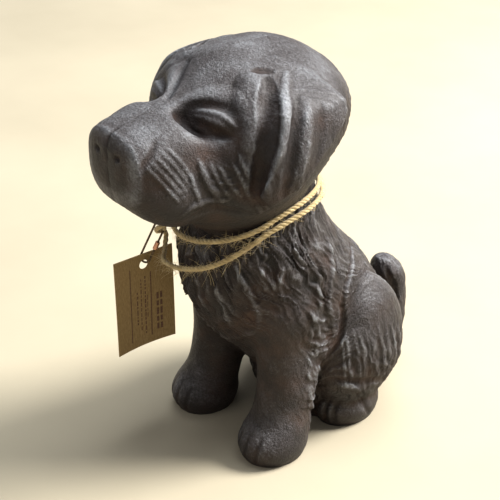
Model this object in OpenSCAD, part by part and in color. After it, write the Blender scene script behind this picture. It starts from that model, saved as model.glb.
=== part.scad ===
// Still bank in the shape of a sitting puppy: two hollow cast iron halves that meet on the X = 0 plane,
// one long screw through the right flank, and a doubled jute twine collar with a paper tag on a wire link.
// The puppy faces -Y, its left side is +X, and its feet rest on Z = 0.

/* [Castings] */
// Thickness of the cast iron wall
wall = 4.5; // [4:0.5:5]
// Distance between the two parting faces when the bank is closed
seam_gap = 0.1; // [0.05:0.05:0.3]
// Radius of the two locating pegs on the left casting
peg_r = 2; // [1.5:0.1:2.2]
// How far each locating peg reaches into the right casting
peg_l = 4; // [3:0.5:5]

/* [Coin slot] */
// Width of the slot, half of it in each casting
slot_w = 5; // [4.6:0.2:6]
// Length of the slot along the slope of the back
slot_l = 33; // [30:1:34]

/* [Screw] */
// Radius of the screw's shank
screw_r = 2; // [1.5:0.1:2.5]
// Length of the shank under the head
screw_l = 37; // [35:0.5:38]
// Radius of the slotted head
head_r = 4.2; // [3.8:0.1:4.5]
// Height of the slotted head
head_h = 2.4; // [2:0.1:3]
// Running clearance on radius of every shaft in its hole
running = 0.05; // [0.02:0.01:0.09]

/* [Twine] */
// Radius of the jute twine
twine_r = 0.85; // [0.7:0.05:0.9]
// Radius of the knot that closes the collar
knot_r = 2.6; // [2.2:0.1:2.6]

/* [Hang tag] */
// Length of the tag
tag_l = 40; // [34:1:42]
// Width of the tag
tag_w = 26; // [22:1:27]
// Thickness of the tag's card
tag_t = 0.4; // [0.3:0.1:0.5]
// Radius of the wire of the link that carries the tag
wire_r = 0.4; // [0.3:0.05:0.45]
// Radius of the link's two end bends
link_r = 2; // [1.9:0.05:2.1]

/* [Hidden] */

IRON = [0.23, 0.22, 0.23];
STEEL = [0.62, 0.62, 0.6];
JUTE = [0.83, 0.74, 0.52];
BRONZE = [0.3, 0.24, 0.18];
COPPER = [0.72, 0.45, 0.3];
KRAFT = [0.66, 0.52, 0.33];
sides = 20;
big = 400;

// Level sections [z, centre x, centre y, radius x, radius y] of the body and of the left limbs
TRUNK = [[-1, 0, 29, 25, 23], [8, 0, 28, 30, 28], [20, 0, 27, 32, 30], [36, 0, 20, 31, 35],
    [50, 0, 11, 30, 37.5], [64, 0, 3, 30, 36.5], [78, 0, -4, 28.5, 31], [90, 0, -7, 26, 25.5],
    [100, 0, -8, 24, 22], [112, 0, -9, 23, 21]];
FORELEG = [[-1, 21.3, -14.4, 10, 11.5], [5, 21.3, -14.4, 11.7, 13.5], [11, 21.3, -13.5, 11.5, 12.8],
    [17, 21, -11, 10.5, 11.5], [30, 20, -8, 10.5, 11.5], [46, 19, -8, 10.5, 12.5],
    [62, 18, -8, 13, 14], [74, 16, -6, 9, 10]];
THIGH = [[5, 22, 25, 6, 9], [14, 22, 25, 11, 16], [24, 22, 25, 13.5, 20], [36, 22, 25, 14, 21],
    [48, 22, 25, 12.5, 18.5], [57, 22, 24, 9, 13.5], [63, 22, 23, 4, 7]];
HIND_PAW = [[-1, 21, 24, 9, 12], [5, 21, 24, 11, 14], [11, 21, 24, 10.2, 13], [18, 21, 25, 6, 10]];
EAR = [[106, 30, -10, 3, 8], [112, 31, -10, 5, 14], [122, 31, -10, 7, 19], [132, 31, -10, 8, 20],
    [142, 30, -10, 6.5, 17], [150, 27, -10, 3.5, 10]];
TAIL = [[-1, 0, 57, 8, 8], [20, 0, 63, 8, 7], [36, -1, 64, 7, 6], [47, -2, 62, 5, 4]];
// Upright sections [y, centre z, radius x, radius z] from the back of the skull to the nose
HEAD = [[25, 127, 5, 4], [22, 127, 16, 12], [16, 127, 24, 19], [6, 128, 31, 25], [-8, 126, 33, 30],
    [-22, 123.5, 32, 31], [-32, 121.5, 27.5, 27.5], [-38, 121, 23, 24], [-52, 121.5, 20, 21],
    [-62, 123.5, 17, 17.5], [-68, 126, 11, 11], [-70, 127, 6, 6]];
trunk_floor = [wall + 0.5, 0, 28, 24, 22];
skull_hollow_end = 6;

screw_y = 14;
screw_z = 66;
seat_x = -24.5;
boss_r = 6.5;
boss_root = 25;
spot_face_r = head_r + 0.9;
thread_end = seat_x + screw_l + 1;
slot_centre = [0, 27, 79];
slot_slope = 51;
slot_depth = 24;
nose_peg = [-52, 122];
tail_peg = [59, 14];

// Route of the twine: point 0 and the last point lie in the knot, X = 0 marks each crossing of the seam
ROUTE = [[-20.5, -27.5, 88.5], [-25.5, -21.5, 89.5], [-27.5, -13.5, 91.5], [-26.5, -4, 94.5], [-23, 5, 97.5],
    [-17.5, 11, 99.5], [-9.5, 15, 101], [0, 16.5, 102], [10, 14, 103], [18, 7.5, 104], [23, 0, 104.5],
    [25, -8, 103.5], [23.5, -16, 100.5], [21, -22.5, 97], [16.5, -28, 94], [9, -32.5, 91], [0, -34.5, 88.5],
    [-9, -34.5, 87.5], [-16.5, -32.5, 87.5], [-21, -35, 84.5], [-24, -33, 81.5], [-25.5, -28.5, 79],
    [-22.5, -31, 74.5], [-17, -35.5, 73.5], [-9, -36.5, 74.5], [0, -36.5, 77.5], [8, -34.5, 81],
    [14, -31, 85], [19, -26, 90], [22.5, -20, 95], [25, -13, 98.5], [26, -5, 101], [23.5, 3, 102],
    [18, 9.5, 101.5], [10, 15, 100.5], [0, 17.5, 99.5], [-10, 15.5, 98.5], [-18.5, 11, 97], [-24.5, 4, 95],
    [-28, -5, 92], [-28.5, -14, 89], [-26, -22.5, 87.5], [-20.5, -27.5, 87]];
SEAM_POINTS = [7, 16, 25, 35];
twine_sides = 8;
neck_y = -10;
knot_at = [-19, -28.8, 87.8];

// The link hangs in the twine's loop at link_top and carries the tag at tag_pivot
link_top = [-24, -33, 81.5];
tag_pivot = [-27, -37.8, 69.1];
link_across = [0.88, 0.32, -0.34];
link_above = 3.4;
clasp_r = 0.9;
clasp_l = 3;
clasp_at = 7;
hole_r = 1.9;
hole_drop = 1.2;
hole_to_edge = 4.5;
tag_corner = 0.4;

// One ring of a level loft, and one ring of an upright loft
function level_ring(s) = [for (i = [0:sides - 1])
    [s[1] + s[3] * cos(360 * i / sides), s[2] + s[4] * sin(360 * i / sides), s[0]]];
function upright_ring(s) = [for (i = [0:sides - 1])
    [s[2] * cos(360 * i / sides), s[0], s[1] + s[3] * sin(360 * i / sides)]];
function thinner(s, first) = [for (i = [0:len(s) - 1]) i < first ? s[i] : s[i] - wall];
function mirrored(s) = [s[0], -s[1], s[2], s[3], s[4]];

// A closed solid through a list of rings that all have the same number of points
module loft(rings) {
    n = len(rings[0]);
    m = len(rings);
    points = [for (r = rings) each r];
    walls = [for (k = [0:m - 2], i = [0:n - 1])
        [k * n + i, (k + 1) * n + i, (k + 1) * n + (i + 1) % n, k * n + (i + 1) % n]];
    foot = [[for (i = [0:n - 1]) i]];
    top = [[for (i = [n - 1:-1:0]) (m - 1) * n + i]];
    polyhedron(points, concat(foot, walls, top));
}

module level_loft(sections) loft([for (s = sections) level_ring(s)]);

// Everything on the outside of one half: side is 1 for the left and -1 for the right
module outside(side) {
    level_loft(TRUNK);
    loft([for (s = HEAD) upright_ring(s)]);
    level_loft(TAIL);
    for (limb = [FORELEG, THIGH, HIND_PAW, EAR])
        level_loft([for (s = limb) side > 0 ? s : mirrored(s)]);
}

// The coin chamber: the hollow of the trunk and of the skull
module chamber() {
    level_loft(concat([trunk_floor], [for (i = [1:len(TRUNK) - 1]) thinner(TRUNK[i], 3)]));
    loft([for (i = [1:skull_hollow_end]) upright_ring(thinner(HEAD[i], 2))]);
}

// A round bar along X from x0 to x1
module bar_x(x0, x1, y, z, r) {
    translate([x0, y, z])
        rotate([0, 90, 0])
            cylinder(h = x1 - x0, r = r, $fn = 48);
}

module coin_slot() {
    translate(slot_centre)
        rotate([-slot_slope, 0, 0])
            cube([slot_w, slot_l, slot_depth], center = true);
}

// The half space that one casting may fill
module own_side(side) {
    translate([side > 0 ? seam_gap / 2 : -big - seam_gap / 2, -big / 2, 0])
        cube([big, big, big]);
}

module left_casting() {
    color(IRON) {
        intersection() {
            difference() {
                union() {
                    difference() {
                        outside(1);
                        chamber();
                    }
                    bar_x(seam_gap / 2, boss_root, screw_y, screw_z, boss_r);
                }
                bar_x(-1, thread_end, screw_y, screw_z, screw_r + running);
                coin_slot();
            }
            own_side(1);
        }
        for (peg = [nose_peg, tail_peg])
            bar_x(-peg_l, 1, peg[0], peg[1], peg_r);
    }
}

module right_casting() {
    color(IRON)
        intersection() {
            difference() {
                union() {
                    difference() {
                        outside(-1);
                        chamber();
                    }
                    bar_x(-boss_root, -seam_gap / 2, screw_y, screw_z, boss_r);
                }
                bar_x(-boss_root, 1, screw_y, screw_z, screw_r + running);
                bar_x(-big, seat_x, screw_y, screw_z, spot_face_r);
                coin_slot();
                for (peg = [nose_peg, tail_peg])
                    bar_x(-peg_l - 1, 1, peg[0], peg[1], peg_r + running);
            }
            own_side(-1);
        }
}

// Slotted round-head machine screw, head on the right flank
module assembly_screw() {
    slot = head_h / 2;
    color(STEEL)
        difference() {
            union() {
                bar_x(seat_x - 0.3, seat_x + screw_l, screw_y, screw_z, screw_r);
                translate([seat_x, screw_y, screw_z])
                    rotate([0, -90, 0])
                        rotate_extrude($fn = 64)
                            polygon([[0, 0], [head_r, 0], [head_r, head_h * 0.6], [head_r * 0.75, head_h * 0.93],
                                [head_r * 0.4, head_h], [0, head_h]]);
            }
            translate([seat_x - head_h - 1, screw_y - 0.6, screw_z - big / 2])
                cube([slot + 1, 1.2, big]);
        }
}

// The twine's rings: a point's direction is along the route, or square to the seam where it crosses it
last_point = len(ROUTE) - 1;
function unit(v) = v / norm(v);
function along(i) = ROUTE[i].x == 0 ? [ROUTE[i + 1].x > 0 ? 1 : -1, 0, 0]
    : unit(ROUTE[min(i + 1, last_point)] - ROUTE[max(i - 1, 0)]);
function ring_at(c, t) = let (out = unit(cross(t, cross([c.x, c.y - neck_y, 0], t))), side = cross(t, out))
    [for (k = [0:twine_sides - 1]) c + twine_r * (cos(360 * k / twine_sides) * out
        + sin(360 * k / twine_sides) * side)];
// The point halfway between two route points on a smooth curve through their neighbours
function halfway(i) = (9 * (ROUTE[i] + ROUTE[i + 1]) - ROUTE[max(i - 1, 0)]
    - ROUTE[min(i + 2, last_point)]) / 16;
function twine_rings(first, last) = [for (i = [first:last], half = [0, 1]) if (i < last || half == 0)
    half == 0 ? ring_at(ROUTE[i], along(i)) : ring_at(halfway(i), unit(ROUTE[i + 1] - ROUTE[i]))];

module twine_left() {
    color(JUTE) {
        loft(twine_rings(SEAM_POINTS[0], SEAM_POINTS[1]));
        loft(twine_rings(SEAM_POINTS[2], SEAM_POINTS[3]));
    }
}

module twine_right() {
    color(JUTE) {
        loft(twine_rings(0, SEAM_POINTS[0]));
        loft([for (i = [SEAM_POINTS[1]:SEAM_POINTS[2]]) ring_at(ROUTE[i], along(i))]);
        loft(twine_rings(SEAM_POINTS[3], last_point));
    }
}

module twine_knot() {
    color(JUTE)
        translate(knot_at)
            sphere(r = knot_r, $fn = 32);
}

// Places a child in the link's own frame: X across the link, Z from the tag's end up to the twine's end
link_up = unit(link_top - tag_pivot);
link_x = unit(link_across - (link_across * link_up) * link_up);
link_y = cross(link_up, link_x);
link_span = norm(link_top - tag_pivot) + link_above;
module in_link() {
    multmatrix([[link_x.x, link_y.x, link_up.x, tag_pivot.x],
        [link_x.y, link_y.y, link_up.y, tag_pivot.y],
        [link_x.z, link_y.z, link_up.z, tag_pivot.z]])
        children();
}

// Half a ring of wire, open side up
module bend() {
    rotate([-90, 0, 0])
        rotate_extrude(angle = 180, $fn = 48)
            translate([link_r, 0])
                circle(r = wire_r, $fn = 24);
}

module tag_link() {
    color(BRONZE)
        in_link() {
            translate([0, 0, link_r])
                bend();
            translate([0, 0, link_span - link_r])
                mirror([0, 0, 1])
                    bend();
            for (side = [-1, 1])
                translate([side * link_r, 0, link_r])
                    cylinder(h = link_span - 2 * link_r, r = wire_r, $fn = 24);
        }
}

// Crimped sleeve over the leg where the two ends of the wire meet
module tag_link_clasp() {
    color(COPPER)
        in_link()
            translate([link_r, 0, clasp_at])
                difference() {
                    cylinder(h = clasp_l, r = clasp_r, $fn = 32);
                    translate([0, 0, -1])
                        cylinder(h = clasp_l + 2, r = wire_r, $fn = 24);
                }
}

// Kraft card tag that hangs by the hole at the middle of its short top edge
module hang_tag() {
    hole_z = tag_pivot.z - hole_drop;
    top_z = hole_z + hole_to_edge;
    color(KRAFT)
        difference() {
            translate([tag_pivot.x, tag_pivot.y, top_z - tag_l / 2])
                cube([tag_t, tag_w, tag_l], center = true);
            translate([tag_pivot.x - 1, tag_pivot.y, hole_z])
                rotate([0, 90, 0])
                    cylinder(h = 2, r = hole_r, $fn = 32);
            for (side = [-1, 1])
                translate([tag_pivot.x, tag_pivot.y + side * tag_w / 2, top_z])
                    rotate([45, 0, 0])
                        cube([2, tag_corner * sqrt(2), tag_corner * sqrt(2)], center = true);
        }
}

left_casting();
right_casting();
assembly_screw();
twine_left();
twine_right();
twine_knot();
tag_link();
tag_link_clasp();
hang_tag();
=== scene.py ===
import math

import bpy
import numpy as np
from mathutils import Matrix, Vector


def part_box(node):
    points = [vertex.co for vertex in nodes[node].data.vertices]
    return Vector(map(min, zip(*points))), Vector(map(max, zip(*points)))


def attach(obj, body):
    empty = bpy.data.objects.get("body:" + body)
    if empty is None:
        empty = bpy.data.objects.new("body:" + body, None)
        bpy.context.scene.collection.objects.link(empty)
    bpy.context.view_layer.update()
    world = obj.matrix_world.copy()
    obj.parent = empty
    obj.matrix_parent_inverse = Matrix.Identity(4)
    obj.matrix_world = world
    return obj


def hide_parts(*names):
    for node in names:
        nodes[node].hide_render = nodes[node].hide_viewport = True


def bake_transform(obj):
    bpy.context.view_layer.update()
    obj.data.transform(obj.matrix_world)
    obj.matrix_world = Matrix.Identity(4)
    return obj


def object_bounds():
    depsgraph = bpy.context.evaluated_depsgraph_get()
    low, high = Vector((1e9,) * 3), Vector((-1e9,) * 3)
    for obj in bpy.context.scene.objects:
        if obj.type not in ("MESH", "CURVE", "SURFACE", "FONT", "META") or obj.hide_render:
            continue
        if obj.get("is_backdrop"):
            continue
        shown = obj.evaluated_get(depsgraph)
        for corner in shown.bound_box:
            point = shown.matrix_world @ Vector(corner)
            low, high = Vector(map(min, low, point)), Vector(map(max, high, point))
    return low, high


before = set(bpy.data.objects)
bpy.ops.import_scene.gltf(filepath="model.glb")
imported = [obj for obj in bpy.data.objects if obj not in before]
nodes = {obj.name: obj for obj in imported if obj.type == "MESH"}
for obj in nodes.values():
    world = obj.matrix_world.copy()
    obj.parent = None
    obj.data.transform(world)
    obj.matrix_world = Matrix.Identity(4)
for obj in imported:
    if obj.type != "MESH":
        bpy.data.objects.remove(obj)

import openvdb
from mathutils import Vector, kdtree

cad_lo, cad_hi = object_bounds()
CAD_BOX = [list(cad_lo), list(cad_hi)]
PUPPY_HEIGHT = 156
MM = (cad_hi.z - cad_lo.z) / PUPPY_HEIGHT      # every shape below is worked out in the puppy's own mm
SEED = 20
AZIMUTH, ELEVATION, DISTANCE = 50, 29, 480     # the camera's place round the puppy, in degrees and mm
ORBIT_CENTRE, AIM = (0, 4, 72), (-6.5, -3.7, 71)
LENS, SENSOR = 92.9, 36


# ---- camera
def set_camera():
    az, el = math.radians(AZIMUTH), math.radians(ELEVATION)
    back = Vector((math.sin(az) * math.cos(el), -math.cos(az) * math.cos(el), math.sin(el)))
    data = bpy.data.cameras.new("camera")
    cam = bpy.data.objects.new("camera", data)
    bpy.context.collection.objects.link(cam)
    data.sensor_width = SENSOR
    data.lens = LENS
    data.clip_start, data.clip_end = 0.02, 20
    eye = Vector(ORBIT_CENTRE) + DISTANCE * back
    aim = Vector(AIM)
    cam.location = eye * MM
    cam.rotation_mode = "QUATERNION"
    cam.rotation_quaternion = (aim - eye).to_track_quat("-Z", "Y")
    bpy.context.scene.camera = cam


set_camera()


# ---- general helpers
def smooth_at(t, knots, values):
    """A smooth curve through values at knots, read at t."""
    m = np.gradient(values, knots)
    i = np.clip(np.searchsorted(knots, t) - 1, 0, len(knots) - 2)
    h = knots[i + 1] - knots[i]
    u = np.clip((t - knots[i]) / h, 0, 1)
    a, b = (1 + 2 * u) * (1 - u) ** 2, u * (1 - u) ** 2 * h
    c, d = u * u * (3 - 2 * u), u * u * (u - 1) * h
    return a * values[i] + b * m[i] + c * values[i + 1] + d * m[i + 1]


def curve(points, step):
    """Points a step apart along a smooth curve through points."""
    p = np.array(points, float)
    if len(p) == 2:
        n = max(2, int(np.linalg.norm(p[1] - p[0]) / step) + 1)
        return p[0] + np.linspace(0, 1, n)[:, None] * (p[1] - p[0])
    s = np.r_[0, np.cumsum(np.linalg.norm(np.diff(p, axis=0), axis=1))]
    fine = np.linspace(0, s[-1], int(s[-1] / (step * 0.2)) + 8)
    q = np.stack([smooth_at(fine, s, p[:, k]) for k in range(3)], 1)
    s = np.r_[0, np.cumsum(np.linalg.norm(np.diff(q, axis=0), axis=1))]
    even = np.linspace(0, s[-1], max(3, int(s[-1] / step) + 1))
    return np.stack([np.interp(even, s, q[:, k]) for k in range(3)], 1)


def frames_along(path):
    """The unit tangent and two unit normals at each point, turning as little as they can."""
    t = np.gradient(path, axis=0)
    t /= np.linalg.norm(t, axis=1)[:, None]
    n = np.empty_like(t)
    first = np.cross(t[0], (0, 0, 1))
    if np.linalg.norm(first) < 0.1:
        first = np.cross(t[0], (0, 1, 0))
    n[0] = first / np.linalg.norm(first)
    for i in range(1, len(t)):
        v = n[i - 1] - t[i] * (n[i - 1] @ t[i])
        n[i] = v / np.linalg.norm(v)
    return t, n, np.cross(t, n)


def mesh_object(name, verts, faces, smooth=True):
    """verts in mm; faces as lists, or as one array where all have the same number of sides."""
    me = bpy.data.meshes.new(name)
    verts = np.asarray(verts, float) * MM
    if isinstance(faces, np.ndarray):
        n, k = faces.shape
        me.vertices.add(len(verts))
        me.vertices.foreach_set("co", verts.astype(np.float32).ravel())
        me.loops.add(n * k)
        me.loops.foreach_set("vertex_index", faces.astype(np.int32).ravel())
        me.polygons.add(n)
        me.polygons.foreach_set("loop_start", np.arange(0, n * k, k, dtype=np.int32))
    else:
        me.from_pydata([tuple(v) for v in verts], [], faces)
    me.update(calc_edges=True)
    me.validate()
    me.polygons.foreach_set("use_smooth", np.full(len(me.polygons), smooth))
    ob = bpy.data.objects.new(name, me)
    bpy.context.collection.objects.link(ob)
    return ob


class Tubes:
    """Collects tubes into one mesh, with their run and turn kept for the material."""

    def __init__(self):
        self.v, self.f, self.uv, self.n = [], [], [], 0

    def add(self, path, radius, sides):
        path = np.asarray(path, float)
        _, a, b = frames_along(path)
        r = np.broadcast_to(np.asarray(radius, float), (len(path),))
        ang = np.linspace(0, 2 * np.pi, sides, endpoint=False)
        ring = np.cos(ang)[None, :, None] * a[:, None] + np.sin(ang)[None, :, None] * b[:, None]
        self.v.append((path[:, None] + r[:, None, None] * ring).reshape(-1, 3))
        s = np.r_[0, np.cumsum(np.linalg.norm(np.diff(path, axis=0), axis=1))]
        self.uv.append(np.stack([np.tile(ang, len(path)), np.repeat(s, sides), np.full(len(path) * sides,
                                                                                       self.n % 97)], 1))
        m = len(path)
        for i in range(m - 1):
            for k in range(sides):
                j = (k + 1) % sides
                self.f.append([self.n + i * sides + k, self.n + i * sides + j, self.n + (i + 1) * sides + j,
                               self.n + (i + 1) * sides + k])
        self.f.append([self.n + k for k in reversed(range(sides))])
        self.f.append([self.n + (m - 1) * sides + k for k in range(sides)])
        self.n += m * sides

    def build(self, name):
        ob = mesh_object(name, np.concatenate(self.v), self.f)
        set_values(ob.data, "strand", np.concatenate(self.uv))
        return ob


def set_values(me, name, values):
    values = np.asarray(values, np.float32)
    kind, key = ("FLOAT", "value") if values.ndim == 1 else ("FLOAT_VECTOR", "vector")
    at = me.attributes.get(name) or me.attributes.new(name, kind, "POINT")
    at.data.foreach_set(key, values.ravel())


_rng = np.random.default_rng(SEED)
PERM = _rng.permutation(256)
GRAD = _rng.normal(size=(256, 3))
GRAD /= np.linalg.norm(GRAD, axis=1)[:, None]


def noise(p):
    """Gradient noise at points, about -1 to 1."""
    i = np.floor(p).astype(np.int64)
    f = p - i
    u = f * f * f * (f * (f * 6 - 15) + 10)
    out = np.zeros(len(p))
    for a, b, c in np.ndindex(2, 2, 2):
        h = PERM[(PERM[(PERM[(i[:, 0] + a) & 255] + i[:, 1] + b) & 255] + i[:, 2] + c) & 255]
        g = GRAD[h]
        out += weight(u, (a, b, c)) * ((f[:, 0] - a) * g[:, 0] + (f[:, 1] - b) * g[:, 1] + (f[:, 2] - c) * g[:, 2])
    return out * 1.5


def weight(f, corner):
    """What a cell's corner counts for at the fractions f across the cell."""
    x, y, z = (f[:, k] if c else 1 - f[:, k] for k, c in enumerate(corner))
    return x * y * z


def step(x, a, b):
    """0 before a, 1 after b, smooth between."""
    t = np.clip((x - a) / (b - a), 0, 1)
    return t * t * (3 - 2 * t)


def tree_of(points):
    tree = kdtree.KDTree(len(points))
    for k, q in enumerate(points):
        tree.insert(q, k)
    tree.balance()
    return tree


# ---- material helpers
PER_MM = (1000, 1000, 1000)


class Nodes:
    def __init__(self, name):
        self.mat = bpy.data.materials.new(name)
        self.mat.use_nodes = True
        self.tree = self.mat.node_tree
        self.tree.nodes.clear()
        self.out = self.new("ShaderNodeOutputMaterial")
        self.bsdf = self.new("ShaderNodeBsdfPrincipled")
        self.link(self.bsdf.outputs[0], self.out.inputs[0])

    def new(self, kind, **props):
        n = self.tree.nodes.new(kind)
        for k, v in props.items():
            setattr(n, k, v)
        return n

    def link(self, a, b):
        self.tree.links.new(a, b)

    def put(self, socket, value):
        if isinstance(value, bpy.types.NodeSocket):
            self.link(value, socket)
        elif isinstance(value, (tuple, list)) and len(value) == 3 and socket.type == "RGBA":
            socket.default_value = (*value, 1)
        else:
            socket.default_value = value

    def set(self, **values):
        for k, v in values.items():
            self.put(self.bsdf.inputs[k.replace("_", " ")], v)

    def math(self, op, a, b, clamp=False):
        n = self.new("ShaderNodeMath", operation=op, use_clamp=clamp)
        for s, v in zip(n.inputs, (a, b)):
            self.put(s, v)
        return n.outputs[0]

    def attr(self, name, vector=False):
        n = self.new("ShaderNodeAttribute", attribute_name=name)
        return n.outputs["Vector" if vector else "Fac"]

    def coords(self, scale=PER_MM, source=None):
        if source is None:
            source = self.new("ShaderNodeTexCoord").outputs["Object"]
        m = self.new("ShaderNodeMapping")
        self.link(source, m.inputs["Vector"])
        m.inputs["Scale"].default_value = scale
        return m.outputs[0]

    def noise(self, vector, scale, detail=3.0, rough=0.55):
        n = self.new("ShaderNodeTexNoise")
        self.link(vector, n.inputs["Vector"])
        n.inputs["Scale"].default_value = scale
        n.inputs["Detail"].default_value = detail
        n.inputs["Roughness"].default_value = rough
        return n.outputs["Fac"]

    def ramp(self, fac, *stops):
        """stops are (place, colour or number)."""
        n = self.new("ShaderNodeValToRGB")
        self.link(fac, n.inputs[0])
        e = n.color_ramp.elements
        while len(e) < len(stops):
            e.new(0.5)
        for k, (at, c) in enumerate(stops):
            e[k].position = at
            e[k].color = (c, c, c, 1) if isinstance(c, (int, float)) else (*c, 1)
        return n.outputs[0]

    def mix(self, fac, a, b):
        n = self.new("ShaderNodeMix", data_type="RGBA", blend_type="MIX")
        self.put(n.inputs[0], fac)
        self.put(n.inputs[6], a)
        self.put(n.inputs[7], b)
        return n.outputs[2]

    def bump(self, height, strength, distance, normal=None):
        n = self.new("ShaderNodeBump")
        n.inputs["Strength"].default_value = strength
        n.inputs["Distance"].default_value = distance
        self.link(height, n.inputs["Height"])
        if normal is not None:
            self.link(normal, n.inputs["Normal"])
        return n.outputs[0]


def paint(ob, mat):
    ob.data.materials.clear()
    ob.data.materials.append(mat)


# ---- twine
# the twine's route, point for point as part.scad has it: twice round the neck and a long loop under the jaw
ROUTE = [
    (-20.5, -27.5, 88.5), (-25.5, -21.5, 89.5), (-27.5, -13.5, 91.5), (-26.5, -4, 94.5), (-23, 5, 97.5),
    (-17.5, 11, 99.5), (-9.5, 15, 101), (0, 16.5, 102), (10, 14, 103), (18, 7.5, 104), (23, 0, 104.5),
    (25, -8, 103.5), (23.5, -16, 100.5), (21, -22.5, 97), (16.5, -28, 94), (9, -32.5, 91), (0, -34.5, 88.5),
    (-9, -34.5, 87.5), (-16.5, -32.5, 87.5), (-21, -35, 84.5), (-24, -33, 81.5), (-25.5, -28.5, 79),
    (-22.5, -31, 74.5), (-17, -35.5, 73.5), (-9, -36.5, 74.5), (0, -36.5, 77.5), (8, -34.5, 81), (14, -31, 85),
    (19, -26, 90), (22.5, -20, 95), (25, -13, 98.5), (26, -5, 101), (23.5, 3, 102), (18, 9.5, 101.5),
    (10, 15, 100.5), (0, 17.5, 99.5), (-10, 15.5, 98.5), (-18.5, 11, 97), (-24.5, 4, 95), (-28, -5, 92),
    (-28.5, -14, 89), (-26, -22.5, 87.5), (-20.5, -27.5, 87),
]
LINK_TOP = np.array((-24, -33, 81.5))                # where the tag's link hangs in the loop
TWINE_D = 1.7
twine_line = curve(ROUTE, 0.5)


def ply_paths(line, pitch, offset, plies=3, phase=0.0):
    _, a, b = frames_along(line)
    s = np.r_[0, np.cumsum(np.linalg.norm(np.diff(line, axis=0), axis=1))]
    for k in range(plies):
        ang = 2 * np.pi * (s / pitch + k / plies) + phase
        wobble = 1 + 0.12 * noise(np.stack([s * 0.35, np.full_like(s, k * 7.1), s * 0], 1))
        off = offset * wobble
        yield line + (np.cos(ang) * off)[:, None] * a + (np.sin(ang) * off)[:, None] * b, s


def make_twine():
    tubes = Tubes()
    for k, (path, s) in enumerate(ply_paths(twine_line, 5.4, 0.44)):
        r = 0.54 * (1 + 0.18 * noise(np.stack([s * 0.8, np.full_like(s, 3.3 * k), s * 0], 1)))
        tubes.add(path, r, 8)
    return tubes.build("twine")


def make_knot():
    """A small overhand knot with two short frayed ends."""
    c = np.array((-19, -28.8, 87.8))
    out = np.array((-0.62, -0.78, 0.05))
    out /= np.linalg.norm(out)
    side = np.cross((0, 0, 1), out)
    side /= np.linalg.norm(side)
    up = np.cross(out, side)
    t = np.linspace(0.15, 2 * np.pi - 0.15, 90)
    x, y, z = np.sin(t) + 1.7 * np.sin(2 * t), np.cos(t) - 1.7 * np.cos(2 * t), -np.sin(3 * t)
    line = c + 0.62 * (x[:, None] * side + y[:, None] * up) + 0.95 * z[:, None] * out
    tubes = Tubes()
    for path, s in ply_paths(line, 4.2, 0.34):
        tubes.add(path, 0.42, 7)
    ends = [(c + 1.2 * out + 0.8 * side, c + 3.0 * out + 2.8 * side - 1.0 * up,
             c + 3.2 * out + 4.8 * side - 3.0 * up), (c + 1.0 * out - 0.9 * side,
                                                      c + 2.4 * out - 2.8 * side + 0.8 * up,
                                                      c + 2.2 * out - 5.6 * side + 0.2 * up)]
    for n, end in enumerate(ends):
        line = curve(end, 0.35)
        for k, (path, s) in enumerate(ply_paths(line, 4.6, 0.30, phase=n)):
            u = s / s[-1]
            spread = 1 + 2.2 * np.clip(u - 0.75, 0, 1)
            mid = line + (path - line) * spread[:, None]
            tubes.add(mid, 0.38 * (1 - 0.45 * step(u, 0.7, 1)), 6)
    return tubes.build("twine_knot_tied")


def make_fibres():
    """Loose jute fibres that stand off the twine, many on the two strands under the jaw."""
    rng = np.random.default_rng(SEED + 1)
    t, a, b = frames_along(twine_line)
    n = len(twine_line)
    tubes = Tubes()
    front = np.nonzero(twine_line[:, 1] < -20)[0]
    low = np.nonzero((twine_line[:, 2] < 90) & (twine_line[:, 1] < -28) & (twine_line[:, 0] > -18))[0]
    jobs = [(rng.integers(4, n - 4), rng.uniform(1.0, 3.4), 0.05) for _ in range(620)]
    jobs += [(int(rng.choice(front)), rng.uniform(2.0, 6.0), 0.055) for _ in range(330)]
    jobs += [(int(rng.choice(low)), rng.uniform(5, 10), 0.06) for _ in range(46)]
    for i, length, r in jobs:
        if np.linalg.norm(twine_line[i] - LINK_TOP) < 8:
            continue
        ang = rng.uniform(0, 2 * np.pi)
        out = np.cos(ang) * a[i] + np.sin(ang) * b[i]
        inward = np.array((0, -10, twine_line[i][2])) - twine_line[i]
        inward /= np.linalg.norm(inward)
        if out @ inward > 0.1:
            out = out - 1.7 * (out @ inward) * inward
        lean = t[i] * rng.choice((-1, 1)) * rng.uniform(0.6, 2.2)
        d = out + lean + rng.normal(0, 0.25, 3)
        d /= np.linalg.norm(d)
        p = twine_line[i] + out * 0.6
        bend = rng.normal(0, 0.30, 3) + (0, 0, -0.16)
        pts, m = [p], 7
        for _ in range(m - 1):
            d = d + bend * (length / m) * 0.35
            d /= np.linalg.norm(d)
            pts.append(pts[-1] + d * length / (m - 1))
        tubes.add(np.array(pts), np.linspace(r, r * 0.45, m), 3)
    # the two long fibres that hang on the chest below the loop
    for pts in ([(7.5, -34.8, 80.5), (8.6, -33.6, 76.5), (8.2, -33.2, 72.5), (5.8, -33.6, 69.6), (2.8, -34.0, 68.2)],
                [(8.4, -34.4, 80.8), (9.6, -33.2, 76), (10.0, -32.6, 72), (9.8, -32.2, 68.5)]):
        line = curve(pts, 0.8)
        tubes.add(line, np.linspace(0.075, 0.04, len(line)), 4)
    return tubes.build("twine_fibres")


twine = make_twine()
fibres = make_fibres()
knot = make_knot()


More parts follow.
